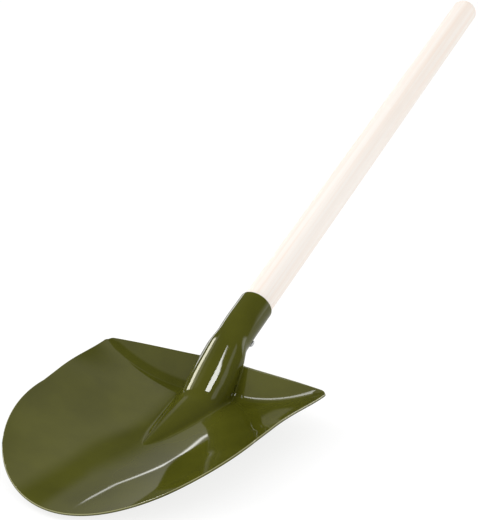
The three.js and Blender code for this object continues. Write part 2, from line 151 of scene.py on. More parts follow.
@dataclass
class Shell:
    """A surface in the making: points in millimetres and faces of three or four of them."""

    points: np.ndarray
    quads: np.ndarray
    triangles: np.ndarray
    # Share of painted edge highlight at each point, if any.
    edge_highlight_share: np.ndarray | None = None

    @staticmethod
    def from_grid(grid: np.ndarray, wrapped: bool = False) -> "Shell":
        """Joins a grid of points into faces.

        Args:
            grid: Rows by columns by 3, with NaN where there is no point. Points that fall
                on one another, as at a pole, are welded.
            wrapped: Whether the last column joins the first.

        Returns:
            The shell, with a face between every four neighbours. Seen from outside, rows
            run down and columns run to the right.
        """
        present = ~np.isnan(grid[..., 0])
        index = np.full(present.shape, -1)
        _, first, inverse = np.unique(
            np.round(grid[present], WELD_DECIMALS) + 0.0,
            axis=0,
            return_index=True,
            return_inverse=True,
        )
        index[present] = inverse.ravel()
        if wrapped:
            index = np.concatenate([index, index[:, :1]], axis=1)
        corners = [index[:-1, :-1], index[1:, :-1], index[1:, 1:], index[:-1, 1:]]
        faces = np.stack(corners, axis=-1).reshape(-1, 4)
        faces = faces[(faces >= 0).all(axis=1)]
        repeated = faces == np.roll(faces, -1, axis=1)
        count = repeated.sum(axis=1)
        pinched = faces[count == 1]
        keep = (np.argmax(repeated[count == 1], axis=1)[:, None] + np.arange(1, 4)) % 4
        triangles = np.take_along_axis(pinched, keep, axis=1)
        return Shell(grid[present][first], faces[count == 0], triangles)

    def normals(self) -> np.ndarray:
        """Sum of the area vectors of the faces round each point, scaled to length 1."""
        total = np.zeros_like(self.points)
        for faces in (self.quads, self.triangles):
            if len(faces) == 0:
                continue
            corners = self.points[faces]
            across = corners[:, 2] - corners[:, 0]
            if faces.shape[1] == 4:
                area = np.cross(across, corners[:, 3] - corners[:, 1])
            else:
                area = np.cross(corners[:, 1] - corners[:, 0], across)
            for k in range(faces.shape[1]):
                np.add.at(total, faces[:, k], area)
        return unit(total)

    def border(self) -> np.ndarray:
        """Directed edges that belong to one face only, as pairs of point numbers."""
        pairs = [
            np.stack([faces, np.roll(faces, -1, axis=1)], axis=-1).reshape(-1, 2)
            for faces in (self.quads, self.triangles)
        ]
        edges = np.concatenate(pairs)
        size = len(self.points)
        forth = edges[:, 0] * size + edges[:, 1]
        back = edges[:, 1] * size + edges[:, 0]
        return edges[~np.isin(forth, back)]

    def thickened(self, thickness: float, bulge: float, rounding: int) -> "Shell":
        """Gives the surface a thickness below it and rounds its free edges.

        Each free edge becomes half an ellipse from the upper to the lower face. The edge
        points are first drawn in by the bulge, so that the outline keeps its size. The share of
        painted edge highlight is sin of twice the angle round the half-ellipse, and 0 past its
        middle, so only the upper side of each rounded edge is painted lighter.

        Args:
            thickness: Sheet thickness.
            bulge: How far the rounding stands out from the middle of the edge.
            rounding: Number of faces round the half-ellipse.

        Returns:
            A closed shell.
        """
        edges = self.border()
        normals = self.normals()
        along = self.points[edges[:, 1]] - self.points[edges[:, 0]]
        sideways = unit(np.cross(along, normals[edges].mean(axis=1)))
        outward = np.zeros_like(self.points)
        np.add.at(outward, edges[:, 0], sideways)
        np.add.at(outward, edges[:, 1], sideways)
        outward = unit(outward - normals * (outward * normals).sum(axis=1, keepdims=True))
        rim = np.unique(edges)
        upper = self.points.copy()
        upper[rim] -= outward[rim] * bulge
        lower = upper - normals * thickness

        size = len(upper)
        order = np.full(size, -1)
        order[rim] = np.arange(len(rim))
        turns = np.linspace(0, math.pi, rounding + 1)[1:-1]
        rings = [
            upper[rim]
            - normals[rim] * (thickness / 2) * (1 - math.cos(t))
            + outward[rim] * bulge * math.sin(t)
            for t in turns
        ]
        ids = [2 * size + k * len(rim) + order[edges] for k in range(len(rings))]
        ids = [edges, *ids, edges + size]
        strips = [
            np.stack([near[:, 1], near[:, 0], far[:, 0], far[:, 1]], axis=-1)
            for near, far in zip(ids, ids[1:])
        ]
        quads = np.concatenate([self.quads, self.quads[:, ::-1] + size, *strips])
        triangles = np.concatenate([self.triangles, self.triangles[:, ::-1] + size])
        # Painted highlight: share of the pale edge colour, on the upper half of each rounding only.
        share = [np.full(len(rim), max(math.sin(2 * t), 0)) for t in turns]
        share = np.concatenate([np.zeros(2 * size), *share])
        return Shell(np.concatenate([upper, lower, *rings]), quads, triangles, share)

    def to_object(self, name: str, place: Vector) -> bpy.types.Object:
        """Makes the Blender object.

        Args:
            name: Name of the object and its mesh.
            place: Where the maker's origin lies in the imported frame, in metres.

        Returns:
            The object, at the origin, with its place in its mesh and smooth faces.
        """
        mesh = bpy.data.meshes.new(name)
        placed = self.points * MM + np.array(place)
        mesh.from_pydata(placed.tolist(), [], self.quads.tolist() + self.triangles.tolist())
        mesh.polygons.foreach_set("use_smooth", np.ones(len(mesh.polygons), dtype=bool))
        # Writes the share of painted edge highlight as a point attribute for the enamel.
        if self.edge_highlight_share is not None:
            layer = mesh.attributes.new(PAINTED_EDGE_HIGHLIGHT, "FLOAT", "POINT")
            layer.data.foreach_set("value", self.edge_highlight_share.astype(np.float32))
        mesh.update()
        made = bpy.data.objects.new(name, mesh)
        bpy.context.scene.collection.objects.link(made)
        return made


def turned(profile: np.ndarray, sides: int, foot: np.ndarray, along: np.ndarray) -> Shell:
    """Turns a profile about an axis.

    Args:
        profile: Pairs of radius and distance along the axis, from the far end to the near.
        sides: Number of sides.
        foot: Point on the axis at distance 0.
        along: Direction of the axis, of length 1 and not along X.

    Returns:
        The turned shell: foot + distance * along + radius * (cos, sin) of the angle.
    """
    sideways = np.array([1.0, 0.0, 0.0])
    first = unit(sideways - along * (sideways @ along))
    second = np.cross(along, first)
    angles = np.linspace(0, 2 * math.pi, sides, endpoint=False)
    spokes = np.cos(angles)[:, None] * first + np.sin(angles)[:, None] * second
    radius, distance = profile[:, 0, None, None], profile[:, 1, None, None]
    return Shell.from_grid(foot + distance * along + radius * spokes, wrapped=True)


def quarter_round(
    centre: tuple[float, float], radius: float, start: float, end: float, count: int
) -> np.ndarray:
    """Arc of a profile: centre + radius * (cos, sin) of an angle that runs from start to end."""
    angles = np.radians(np.linspace(start, end, count + 1))
    return np.array(centre) + radius * np.stack([np.cos(angles), np.sin(angles)], axis=-1)


# ---------------------------------------------------------------- node helpers


def linear(hex_colour: str) -> tuple[float, float, float, float]:
    """Turns an sRGB hex colour into linear light.

    Args:
        hex_colour: Six hex digits after a #.

    Returns:
        Red, green, blue and an alpha of 1, by the sRGB standard's curve: a straight part
        near black, then a power of 2.4.
    """
    parts = [int(hex_colour[k : k + 2], 16) / 255 for k in (1, 3, 5)]
    lit = [p / 12.92 if p <= 0.04045 else ((p + 0.055) / 1.055) ** 2.4 for p in parts]
    return (*lit, 1.0)


def add_node(
    tree: bpy.types.NodeTree,
    kind: str,
    settings: dict | None = None,
    links: dict | None = None,
    **values: object,
) -> bpy.types.Node:
    """Adds a node.

    Args:
        tree: Tree that the node goes in.
        kind: Blender's type name of the node.
        settings: Properties of the node.
        links: Output socket for each input, by the input's name or number.
        **values: Value of each input, by its name with _ for a space.

    Returns:
        The node.
    """
    node = tree.nodes.new(kind)
    for key, value in (settings or {}).items():
        setattr(node, key, value)
    for key, value in values.items():
        node.inputs[key.replace("_", " ")].default_value = value
    for key, source in (links or {}).items():
        tree.links.new(source, node.inputs[key])
    return node


def new_material(name: str) -> tuple[bpy.types.Material, bpy.types.NodeTree]:
    """Makes an empty node material and gives it back with its tree."""
    made = bpy.data.materials.new(name)
    made.use_nodes = True
    made.node_tree.nodes.clear()
    return made, made.node_tree


def set_ramp(node: bpy.types.Node, places: tuple[float, float], colours: tuple[str, str]) -> None:
    """Sets the places and sRGB colours of a ramp's two stops."""
    for stop, position, colour in zip(node.color_ramp.elements, places, colours):
        stop.position = position
        stop.color = linear(colour)


# ---------------------------------------------------------------- finishes


@dataclass(frozen=True)
class StovingEnamel:
    """Stoved gloss enamel on pressed steel, sprayed olive green.

    The spray leaves a faint orange peel about 2.5 mm across, so reflections keep sharp
    edges that waver slightly. The colour drifts a little over some centimetres with the
    thickness of the coat. A pale colour on the upper side of the sheet's rounded edges is a
    painted highlight, standing in for light that the edges catch. Enamel is a dielectric
    resin, of IOR about 1.5.
    """

    name: str = "olive_stoving_enamel"
    thin_coat: str = "#505115"
    thick_coat: str = "#44450F"
    # Painted highlight: pale colour on the upper side of the rounded edges, standing in for light they
    # catch.
    edge_highlight_colour: str = "#A3A17A"
    ior: float = 1.5
    roughness: float = 0.04
    peel_mm: float = 2.5
    peel_depth_mm: float = 0.0015
    drift_mm: float = 60
    drift_range: tuple[float, float] = (0.35, 0.65)

    def material(self) -> bpy.types.Material:
        """Builds the enamel's nodes."""
        made, tree = new_material(self.name)
        place = add_node(tree, "ShaderNodeTexCoord").outputs["Object"]
        drift_scale, peel_scale = 1 / (self.drift_mm * MM), 1 / (self.peel_mm * MM)
        drift = add_node(
            tree, "ShaderNodeTexNoise", links={"Vector": place}, Scale=drift_scale, Detail=3.0
        )
        ramp = add_node(tree, "ShaderNodeValToRGB", links={"Fac": drift.outputs["Fac"]})
        set_ramp(ramp, self.drift_range, (self.thick_coat, self.thin_coat))
        # Painted highlight: the edge attribute mixes the pale edge colour into the coat.
        edge = add_node(tree, "ShaderNodeAttribute", {"attribute_name": PAINTED_EDGE_HIGHLIGHT})
        coat = add_node(
            tree,
            "ShaderNodeMix",
            {"data_type": "RGBA"},
            {"Factor": edge.outputs["Fac"], FIRST_COLOUR: ramp.outputs["Color"]},
        )
        coat.inputs[SECOND_COLOUR].default_value = linear(self.edge_highlight_colour)
        peel = add_node(
            tree, "ShaderNodeTexNoise", links={"Vector": place}, Scale=peel_scale, Detail=1.0
        )
        bump = add_node(
            tree,
            "ShaderNodeBump",
            links={"Height": peel.outputs["Fac"]},
            Distance=self.peel_depth_mm * MM,
        )
        shader = add_node(
            tree,
            "ShaderNodeBsdfPrincipled",
            links={"Base Color": coat.outputs[MIXED_COLOUR], "Normal": bump.outputs["Normal"]},
            Roughness=self.roughness,
            IOR=self.ior,
        )
        add_node(tree, "ShaderNodeOutputMaterial", links={"Surface": shader.outputs["BSDF"]})
        return made


@dataclass(frozen=True)
class SandedBirch:
    """Birch, turned and sanded, with no varnish.

    Birch is pale and nearly even, with straight fine grain along the rod, faint darker
    growth lines about 2 mm apart and pores too fine to see. Sanding leaves it matt, with a
    slight lengthwise roughness.
    """

    name: str = "sanded_birch"
    pale: str = "#FDF6EF"
    grain: str = "#F8EADE"
    grain_range: tuple[float, float] = (0.36, 0.6)
    ior: float = 1.45
    roughness: float = 0.55
    growth_mm: float = 2.2
    fibre_mm: float = 0.5
    run_mm: float = 160
    fibre_share: float = 0.35
    fibre_depth_mm: float = 0.03

    def material(self, along: Vector, foot: Vector) -> bpy.types.Material:
        """Builds the wood's nodes.

        Args:
            along: Direction of the rod.
            foot: Point on the rod's axis, in metres.

        Returns:
            The material, whose grain runs along the rod.
        """
        made, tree = new_material(self.name)
        place = add_node(tree, "ShaderNodeTexCoord").outputs["Object"]
        turn = along.rotation_difference(Vector((0, 0, 1))).to_matrix()
        aligned = add_node(tree, "ShaderNodeMapping", {"vector_type": "POINT"}, {"Vector": place})
        aligned.inputs["Rotation"].default_value = turn.to_euler()
        aligned.inputs["Location"].default_value = -(turn @ foot)

        grains = []
        for width, detail in ((self.growth_mm, 4.0), (self.fibre_mm, 2.0)):
            stretched = add_node(
                tree, "ShaderNodeMapping", {"vector_type": "POINT"}, {"Vector": aligned.outputs[0]}
            )
            sizes = (width, width, self.run_mm)
            stretched.inputs["Scale"].default_value = [1 / (size * MM) for size in sizes]
            # At scale 0.5 the noise changes over two units: one pale line and one dark.
            links = {"Vector": stretched.outputs[0]}
            grains.append(add_node(tree, "ShaderNodeTexNoise", links=links, Scale=0.5, Detail=detail))
        growth, fibres = grains
        both = add_node(
            tree,
            "ShaderNodeMix",
            {"data_type": "FLOAT"},
            {"A": growth.outputs["Fac"], "B": fibres.outputs["Fac"]},
            Factor=self.fibre_share,
        )
        ramp = add_node(tree, "ShaderNodeValToRGB", links={"Fac": both.outputs["Result"]})
        set_ramp(ramp, self.grain_range, (self.grain, self.pale))
        bump = add_node(
            tree,
            "ShaderNodeBump",
            links={"Height": fibres.outputs["Fac"]},
            Distance=self.fibre_depth_mm * MM,
        )
        shader = add_node(
            tree,
            "ShaderNodeBsdfPrincipled",
            links={"Base Color": ramp.outputs["Color"], "Normal": bump.outputs["Normal"]},
            Roughness=self.roughness,
            IOR=self.ior,
        )
        add_node(tree, "ShaderNodeOutputMaterial", links={"Surface": shader.outputs["BSDF"]})
        return made


@dataclass(frozen=True)
class DulledZinc:
    """Steel screw, electroplated with zinc that has dulled.

    In air the light bluish grey plate takes on a thin pale film of oxide, which scatters
    part of the light. It is mottled over about a millimetre.
    """

    name: str = "dulled_zinc_plate"
    plate: str = "#E2E3E4"
    shaded_plate: str = "#CACCCE"
    bare_share: float = 0.35  # share of the plate that still shines as bare metal
    roughness_range: tuple[float, float] = (0.29, 0.45)
    mottle_mm: float = 1.0
    mottle_range: tuple[float, float] = (0.3, 0.7)

    def material(self) -> bpy.types.Material:
        """Builds the plate's nodes."""
        made, tree = new_material(self.name)
        place = add_node(tree, "ShaderNodeTexCoord").outputs["Object"]
        mottle_scale = 1 / (self.mottle_mm * MM)
        mottle = add_node(
            tree, "ShaderNodeTexNoise", links={"Vector": place}, Scale=mottle_scale, Detail=3.0
        )
        ramp = add_node(tree, "ShaderNodeValToRGB", links={"Fac": mottle.outputs["Fac"]})
        set_ramp(ramp, self.mottle_range, (self.shaded_plate, self.plate))
        satin = add_node(
            tree,
            "ShaderNodeMapRange",
            links={"Value": mottle.outputs["Fac"]},
            To_Min=self.roughness_range[0],
            To_Max=self.roughness_range[1],
        )
        shader = add_node(
            tree,
            "ShaderNodeBsdfPrincipled",
            links={"Base Color": ramp.outputs["Color"], "Roughness": satin.outputs["Result"]},
            Metallic=self.bare_share,
        )
        add_node(tree, "ShaderNodeOutputMaterial", links={"Surface": shader.outputs["BSDF"]})
        return made


@dataclass(frozen=True)
class LitPaper:
    """Matt white paper on a light table, lit from below, so that shadows on it stay pale."""

    name: str = "white_paper_on_light_table"
    colour: str = "#8A8A8A"
    roughness: float = 0.9
    glow: float = 0.8
    glow_in_gloss: float = 0.3

    def material(self) -> bpy.types.Material:
        """Builds the paper's nodes."""
        made, tree = new_material(self.name)
        ray = add_node(tree, "ShaderNodeLightPath")
        glow = add_node(
            tree,
            "ShaderNodeMapRange",
            links={"Value": ray.outputs["Is Glossy Ray"]},
            To_Min=self.glow,
            To_Max=self.glow_in_gloss,
        )
        shader = add_node(
            tree,
            "ShaderNodeBsdfPrincipled",
            links={"Emission Strength": glow.outputs["Result"]},
            Base_Color=linear(self.colour),
            Roughness=self.roughness,
            Specular_IOR_Level=0.0,
            Emission_Color=linear("#FFFFFF"),
        )
        add_node(tree, "ShaderNodeOutputMaterial", links={"Surface": shader.outputs["BSDF"]})
        return made


# ---------------------------------------------------------------- blade and socket


@dataclass
class Outline:
    """Plan of the blade: straight rear cuts, straight sides and a half-ellipse in front."""

    join_y: float = -57
    join_half_width: float = 19.6
    rear_half_width: float = 108
    front_half_width: float = 98.9
    corner_y: float = -75
    side_length: float = 101
    point_length: float = 121
    corner_reach: float = 6
    front_angle: float = 48  # degrees of the half-ellipse, from the tip, that end the rows
    walk_points: int = 200

    @property
    def side_end_y(self) -> float:
        """Where the straight sides end."""
        return self.corner_y - self.side_length

    @property
    def tip_y(self) -> float:
        """Where the blade ends."""
        return self.side_end_y - self.point_length

    def rear_edge_y(self, x: np.ndarray) -> np.ndarray:
        """Straight line from the join with the crank to the shoulder's corner."""
        share = (np.abs(x) - self.join_half_width) / (self.rear_half_width - self.join_half_width)
        return mix(self.join_y, self.corner_y, share)

    def front_point(self, angle: np.ndarray) -> np.ndarray:
        """Half-ellipse: half-width * sin and length * cos of the angle from the tip."""
        x = self.front_half_width * np.sin(angle)
        y = self.side_end_y - self.point_length * np.cos(angle)
        return np.stack([x, y], axis=-1)

    def side_point(self, share: np.ndarray) -> np.ndarray:
        """Walks along the side.

        Args:
            share: Share of the way from the shoulder to where the front edge takes over.

        Returns:
            Plan points at even lengths along the straight side and then the ellipse.
        """
        angles = np.linspace(math.pi / 2, math.radians(self.front_angle), self.walk_points)
        corner = np.array([[self.rear_half_width, self.corner_y]])
        path = np.concatenate([corner, self.front_point(angles)])
        lengths = np.concatenate([[0], np.cumsum(np.linalg.norm(np.diff(path, axis=0), axis=1))])
        along = share * lengths[-1]
        return np.stack([np.interp(along, lengths, path[:, k]) for k in (0, 1)], axis=-1)

    def side_total(self) -> float:
        """Length that side_point walks."""
        fine = self.side_point(np.linspace(0, 1, 2 * self.walk_points))
        return float(np.linalg.norm(np.diff(fine, axis=0), axis=1).sum())

    def corner_pull(self, rear_left: np.ndarray, side_done: np.ndarray) -> np.ndarray:
        """Rounds the shoulder by drawing nearby points in along both edges.

        Args:
            rear_left: Share of the rear edge left before the corner.
            side_done: Share of the side done since the corner.

        Returns:
            A shift in the plan: a quarter of the reach times (1 - distance / reach)
            squared for each edge, along the two edges' directions.
        """
        rear = np.array([self.join_half_width - self.rear_half_width, self.join_y - self.corner_y])
        side = np.array([self.front_half_width - self.rear_half_width, -self.side_length])
        lengths = np.linalg.norm(rear), self.side_total()
        near = [
            np.clip(1 - share * length / self.corner_reach, 0, 1) ** 2
            for share, length in zip((rear_left, side_done), lengths)
        ]
        return (self.corner_reach / 4 * near[0] * near[1])[..., None] * (unit(rear) + unit(side))


@dataclass
class Dish:
    """Hollow of the blade, with the turned-up wall at its rear."""

    depth: float = 29.4
    rear_depth: float = 28.2
    rear_length: float = 76
    rocker_depth: float = 2.5
    rocker_length: float = 170
    rocker_y: float = -160
    tip_lift: float = 1.5
    wall_rise: float = 23.5
    wall_taper: float = 2.4
    wall_slope: float = 1.17
    wall_fillet: float = 4.5
    wall_fillet_share: float = 0.9  # most of the wall's run that the fillet may take
    wall_overrun: float = 1  # how far past the corner the wall would reach nothing

    def floor_height(self, x: np.ndarray, y: np.ndarray, plan: Outline) -> np.ndarray:
        """Height of the dish without the wall.

        Args:
            x: Distance from the centre line.
            y: Distance along the shovel.
            plan: The blade's outline.

        Returns:
            curvature * x squared, less a squared-cosine dip along the centre line that
            fades towards the sides, plus a squared rise towards the tip. The curvature
            eases from its front value to its rear one.
        """
        rear = ease((y - plan.corner_y) / self.rear_length + 1)
        front_curvature = self.depth / plan.front_half_width**2
        curvature = mix(front_curvature, self.rear_depth / plan.rear_half_width**2, rear)
        along = np.clip(np.abs(y - self.rocker_y) / (self.rocker_length / 2), 0, 1)
        dip = self.rocker_depth * np.cos(along * math.pi / 2) ** 2
        tip_rise = self.tip_lift * np.clip((plan.side_end_y - y) / plan.point_length, 0, 1) ** 2
        return curvature * x**2 - dip * (1 - (x / plan.rear_half_width) ** 2) + tip_rise

    def wall_height(self, x: np.ndarray, y: np.ndarray, plan: Outline) -> np.ndarray:
        """Extra height of the rear wall.

        Args:
            x: Distance from the centre line.
            y: Distance along the shovel.
            plan: The blade's outline.

        Returns:
            slope * distance behind the wall's foot, rounded into the dish by a parabola
            over a fillet on either side of the foot. The foot lies rise / slope in front
            of the rear edge, and the rise falls as a power of x to nothing just past the
            corner.
        """
        reach = plan.rear_half_width + self.wall_overrun
        fall = np.clip(np.abs(x) / reach, 0, 1) ** self.wall_taper
        run = self.wall_rise * (1 - fall) / self.wall_slope
        fillet = np.minimum(self.wall_fillet, self.wall_fillet_share * run) + LEAST_FILLET
        behind = y - (plan.rear_edge_y(x) - run)
        curve = self.wall_slope * (behind + fillet) ** 2 / (4 * fillet)
        rising = np.where(behind >= fillet, self.wall_slope * behind, curve)
        return np.where(behind <= -fillet, 0, rising)

    def height(self, x: np.ndarray, y: np.ndarray, plan: Outline) -> np.ndarray:
        """Height of the dish and its rear wall together."""
        return self.floor_height(x, y, plan) + self.wall_height(x, y, plan)


@dataclass
class Ridge:
    """Hollow ridge down the middle of the blade, and the steeper crank behind it."""

    kink_y: float = -84
    kink_half_width: float = 22.3
    nose_y: float = -178
    taper: float = 0.62
    nose_rounding: float = 3
    slope: float = 0.165
    crank_slope: float = 0.751
    top_at_kink: float = 13.6
    crank_top_at_kink: float = 24.2
    crank_bend: float = 6
    bend: float = 2.5
    foot_fillet: float = 3
    foot_fillet_share: float = 0.35  # most of the half-width that the fillet may take

    def half_width(self, y: np.ndarray, plan: Outline) -> np.ndarray:
        """Half-width at the foot: straight behind the kink, a power of the length before it."""
        behind = mix(
            self.kink_half_width, plan.join_half_width, (y - self.kink_y) / (plan.join_y - self.kink_y)
        )
        ahead = np.clip((y - self.nose_y) / (self.kink_y - self.nose_y), 0, 1) ** self.taper
        return np.where(y > self.kink_y, behind, self.kink_half_width * ahead)


@dataclass
class RolledSocket:
    """Sheet rolled round the handle, from the rear edge of the blade to the rim."""

    diameter: float = 31.5
    lift: float = 22.7
    rim_height: float = 56
    rolled_y: float = -42
    seam: float = 1.2

    @property
    def radius(self) -> float:
        """Outside radius."""
        return self.diameter / 2

    @property
    def lift_angle(self) -> float:
        """Angle above the floor, in radians."""
        return math.radians(self.lift)

    @property
    def axis(self) -> np.ndarray:
        """Direction from the blade to the handle's end."""
        return np.array([0, math.cos(self.lift_angle), math.sin(self.lift_angle)])

    @property
    def axis_up(self) -> np.ndarray:
        """Direction square to the axis, upwards."""
        return np.array([0, -math.sin(self.lift_angle), math.cos(self.lift_angle)])

    @property
    def rim_centre(self) -> np.ndarray:
        """Centre of the rim."""
        return np.array([0, 0, self.rim_height])

    @property
    def rim_top(self) -> tuple[float, float]:
        """Distance along and height of the rim's highest point."""
        lift = self.lift_angle
        return -self.radius * math.sin(lift), self.rim_height + self.radius * math.cos(lift)


@dataclass
class BladeWithSocket:
    """The pressed sheet: dish, rear wall, ridge, crank and socket in one piece."""

    thickness: float = 1.8
    edge_bulge: float = 0.55
    edge_faces: int = 6
    plan: Outline = field(default_factory=Outline)
    dish: Dish = field(default_factory=Dish)
    ridge: Ridge = field(default_factory=Ridge)
    socket: RolledSocket = field(default_factory=RolledSocket)
    enamel: StovingEnamel = field(default_factory=StovingEnamel)
    ridge_columns: int = 20
    fillet_columns: int = 6
    pan_columns: int = 46
    wall_rows: int = 26
    ridge_rows: int = 60
    front_rows: int = 52
    socket_rows: int = 44
    wall_reach: float = 13
    edge_lead: float = 1.2
    nose_lead: float = 0.4
    pan_width: float = 88
    fillet_probe: float = 0.02  # share of a row that its fillet's width is measured over
    join_blend: float = 5  # length over which the socket leaves the blade's own section

    def top_height(self, y: np.ndarray) -> np.ndarray:
        """Centre line of the upper surface: the lower of socket and crank, then the ridge."""
        lift = self.socket.lift_angle
        rim_y, rim_z = self.socket.rim_top
        socket = rim_z + math.tan(lift) * (y - rim_y)
        crank = self.ridge.crank_top_at_kink + self.ridge.crank_slope * (y - self.ridge.kink_y)
        ridge = self.ridge.top_at_kink + self.ridge.slope * (y - self.ridge.kink_y)
        return soft_max(soft_min(socket, crank, self.ridge.crank_bend), ridge, self.ridge.bend)

    def ridge_arc(self, y: np.ndarray) -> tuple[np.ndarray, np.ndarray, np.ndarray]:
        """Circular arc across the ridge.

        Args:
            y: Distance along the shovel.

        Returns:
            Radius, the angle from the top to the foot, and the height of the top. For a
            half-width w and a height h the radius is (w squared + h squared) / 2h and the
            angle is twice the angle whose tangent is h / w. Near the nose h eases to 0.
        """
        half_width = self.ridge.half_width(y, self.plan)
        foot_height = self.dish.height(half_width, y, self.plan)
        full = np.maximum(self.top_height(y) - foot_height, LEAST_HEIGHT)
        height = np.maximum(full * ease(half_width / self.ridge.nose_rounding), LEAST_HEIGHT)
        radius = (half_width**2 + height**2) / (2 * height)
        return radius, 2 * np.arctan2(height, half_width), foot_height + height

    def join_arc(self) -> tuple[float, float]:
        """Radius and angle from top to foot of the arc where the crank joins the socket."""
        radius, foot, _ = self.ridge_arc(np.array(float(self.plan.join_y)))
        return float(radius), float(foot)

    def arc_point(self, y: np.ndarray, angle: np.ndarray) -> np.ndarray:
        """Point on the ridge at an angle from its top, in the upright plane at y."""
        radius, _, top = self.ridge_arc(y)
        y_full = np.broadcast_to(y, np.broadcast(y, angle).shape)
        return np.stack([radius * np.sin(angle), y_full, top - radius * (1 - np.cos(angle))], axis=-1)

    def pan_point(self, y: np.ndarray, down: np.ndarray, out: np.ndarray) -> np.ndarray:
        """Point on the right half of the dish.

        The plan is a Coons patch: the two mixes of opposite edges, less the mix of the
        four corners. Its edges are the ridge's foot and the centre line (out = 0), the
        side (out = 1), the rear edge (down = 0) and the front edge (down = 1).

        Args:
            y: Distance along the shovel of the row's inner end.
            down: Share of the side done at the row's outer end.
            out: Share of the way from the inner to the outer end.

        Returns:
            The point, on the height of the dish and wall.
        """
        plan = self.plan
        down, out = np.broadcast_arrays(down, out)
        across, along = out[..., None], down[..., None]
        y_full = np.broadcast_to(y, out.shape)
        inner = np.stack([self.ridge.half_width(y_full, plan), y_full], axis=-1)
        outer = plan.side_point(down)
        rear_x = mix(plan.join_half_width, plan.rear_half_width, out)
        rear = np.stack([rear_x, plan.rear_edge_y(rear_x)], axis=-1)
        corner_angle = math.radians(plan.front_angle)
        front = plan.front_point(out * corner_angle)
        rear_ends = np.array(
            [[plan.join_half_width, plan.join_y], [plan.rear_half_width, plan.corner_y]]
        )
        front_ends = plan.front_point(np.array([0, corner_angle]))
        rear_line, front_line = mix(*rear_ends, across), mix(*front_ends, across)
        flat = mix(inner, outer, across) + mix(rear, front, along)
        flat = flat - mix(rear_line, front_line, along) + plan.corner_pull(1 - out, down)
        height = self.dish.height(flat[..., 0], flat[..., 1], plan)
        return np.concatenate([flat, height[..., None]], axis=-1)

    def rows(self) -> tuple[np.ndarray, np.ndarray]:
        """Rows of the blade from the rear edge to the tip.

        Returns:
            The distance along the shovel of each row's inner end, and the share of the
            side done at its outer end. Rows crowd together towards the ridge's nose.
        """
        nose, kink = self.ridge.nose_y, self.ridge.kink_y
        wall = steps(self.plan.join_y, kink, self.wall_rows, lead_in=self.edge_lead)
        crowding = np.sin(np.linspace(0, math.pi / 2, self.ridge_rows + 1)[1:])
        front = steps(nose, self.plan.tip_y, self.front_rows, self.nose_lead, self.edge_lead)[1:]
        y = np.concatenate([wall, mix(kink, nose, crowding), front])
        wall_share = self.wall_reach / self.plan.side_total()
        behind = wall_share * (self.plan.join_y - y) / (self.plan.join_y - kink)
        ahead = mix(wall_share, 1, (kink - y) / (kink - self.plan.tip_y))
        return y[:, None], np.where(y > kink, behind, ahead)[:, None]

    def right_half(self) -> np.ndarray:
        """Points of the right half of the blade, from the centre line to the side.

        Between the ridge and the dish each row turns through a parabola, whose ends lie
        one fillet length from the corner: (1-t) squared A + 2 t (1-t) C + t squared B.

        Returns:
            Rows by columns by 3.
        """
        y, down = self.rows()
        radius, foot, _ = self.ridge_arc(y)
        half_width = self.ridge.half_width(y, self.plan)
        fillet = np.minimum(self.ridge.foot_fillet, self.ridge.foot_fillet_share * half_width)
        start = foot - fillet / radius
        on_ridge = self.arc_point(y, start * np.linspace(0, 1, self.ridge_columns + 1))

        corner = self.pan_point(y, down, 0 * y)
        probe = self.pan_point(y, down, np.full_like(y, self.fillet_probe))
        inset = self.fillet_probe * fillet / np.linalg.norm(probe - corner, axis=-1)
        end = self.pan_point(y, down, inset)
        t = np.linspace(0, 1, self.fillet_columns + 1)[1:-1, None]
        turn = (1 - t) ** 2 * on_ridge[:, -1:] + 2 * t * (1 - t) * corner + t**2 * end

        outs = steps(0, 1, self.pan_columns, lead_out=self.edge_lead / self.pan_width)
        on_pan = self.pan_point(y, down, mix(inset, 1, outs))
        half = np.concatenate([on_ridge, turn, on_pan], axis=1)
        merged = self.ridge_columns + self.fillet_columns
        ahead = (y <= self.ridge.nose_y)[:, 0]
        half[ahead, :merged] = half[ahead, merged, None]
        return half

    def socket_point(self, back: np.ndarray, across: np.ndarray) -> np.ndarray:
        """Point on the socket.

        The section leans back from upright to square with the socket, and closes from the
        crank's open arch to a full round with a seam.

        Args:
            back: Share of the way from the rear edge to the rim, along the top.
            across: Share of the way from the top round to the free edge.

        Returns:
            (half-width * sin, top + drop * sin of the lean, height - drop * cos of the
            lean), where drop = half-depth * (1 - cos) of the angle.
        """
        lift, size = self.socket.lift_angle, self.socket.radius
        join_radius, join_foot = self.join_arc()
        top_y = mix(self.plan.join_y, self.socket.rim_top[0], back)
        lean = lift * ease(back)
        rolled = ease((top_y - self.plan.join_y) / (self.socket.rolled_y - self.plan.join_y))
        half_width = mix(join_radius, size, rolled)
        half_depth = mix(join_radius, size / np.cos(lift - lean), rolled)
        seam_angle = self.socket.seam / 2 / size
        angle = mix(join_foot, math.pi - seam_angle, rolled) * across
        drop = half_depth * (1 - np.cos(angle))
        y = top_y + drop * np.sin(lean)
        z = self.top_height(top_y) - drop * np.cos(lean)
        return np.stack([half_width * np.sin(angle), y, z], axis=-1)

    def grid(self) -> np.ndarray:
        """Whole upper surface, from the rim to the tip and from left to right.

        The socket's columns carry on those of the ridge and half of each fillet. Near the
        rear edge the socket is shifted on to the blade's own first row, by a share that
        eases to nothing over the join's blend.

        Returns:
            Rows by columns by 3, with NaN beside the socket.
        """
        right = self.right_half()
        blade = np.concatenate([right[:, :0:-1] * np.array([-1, 1, 1]), right], axis=1)
        middle = right.shape[1] - 1
        edge = self.ridge_columns + self.fillet_columns // 2

